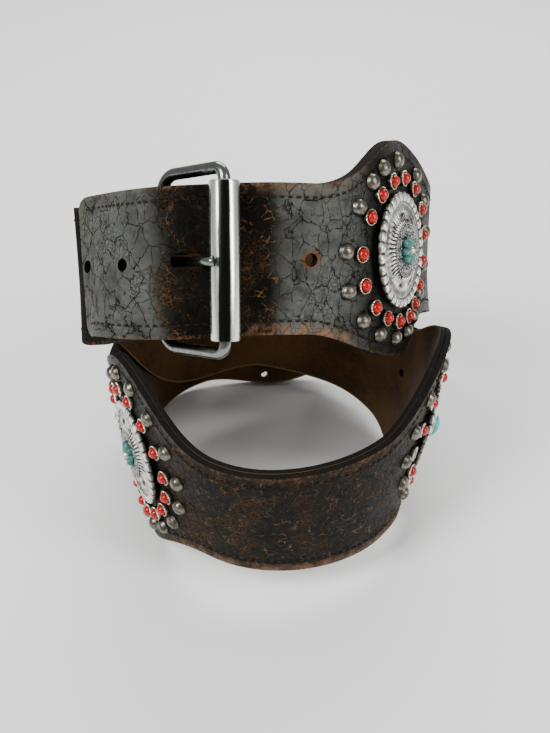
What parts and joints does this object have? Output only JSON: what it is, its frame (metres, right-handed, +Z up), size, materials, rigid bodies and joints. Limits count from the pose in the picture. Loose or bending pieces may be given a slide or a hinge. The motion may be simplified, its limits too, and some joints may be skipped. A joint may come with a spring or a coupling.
{
  "type": "concho belt",
  "caption": "Wide leather belt wound in two turns and buckled, with flared panels that carry fluted silver discs ringed by coral stones and domed studs; worn round the waist",
  "frame": {"origin": "under the middle of the belt's bounding box, on the surface it stands on", "axes": "+Z up; the buckle faces -Y; the belt runs from the buckle towards +X"},
  "size_m": [0.1752, 0.1956, 0.1859],
  "materials": {
    "leather": "cracked satin",
    "suede": "raw suede",
    "steel": "satin",
    "silver": "antique silver",
    "pewter": "dark patina",
    "coral": "polished",
    "turquoise": "polished"
  },
  "bodies": {
    "root": {"belt_leather": "leather", "suede_lining": "suede", "buckle_frame": "steel", "buckle_roller": "steel", "buckle_prong": "steel", "concho_a": "silver", "centre_stone_a": "turquoise", "concho_b": "silver", "centre_stone_b": "turquoise", "concho_c": "silver", "centre_stone_c": "turquoise", "concho_d": "silver", "centre_stone_d": "turquoise", "concho_e": "silver", "centre_stone_e": "turquoise", "coral_1": "coral", "stud_1": "pewter", "coral_2": "coral", "stud_2": "pewter", "coral_3": "coral", "stud_3": "pewter", "coral_4": "coral", "stud_4": "pewter", "coral_5": "coral", "stud_5": "pewter", "coral_6": "coral", "stud_6": "pewter", "coral_7": "coral", "stud_7": "pewter", "coral_8": "coral", "stud_8": "pewter", "coral_9": "coral", "stud_9": "pewter", "coral_10": "coral", "stud_10": "pewter", "coral_11": "coral", "stud_11": "pewter", "coral_12": "coral", "stud_12": "pewter", "coral_13": "coral", "stud_13": "pewter", "coral_14": "coral", "stud_14": "pewter", "coral_15": "coral", "stud_15": "pewter", "coral_16": "coral", "stud_16": "pewter"}
  },
  "joints": []
}
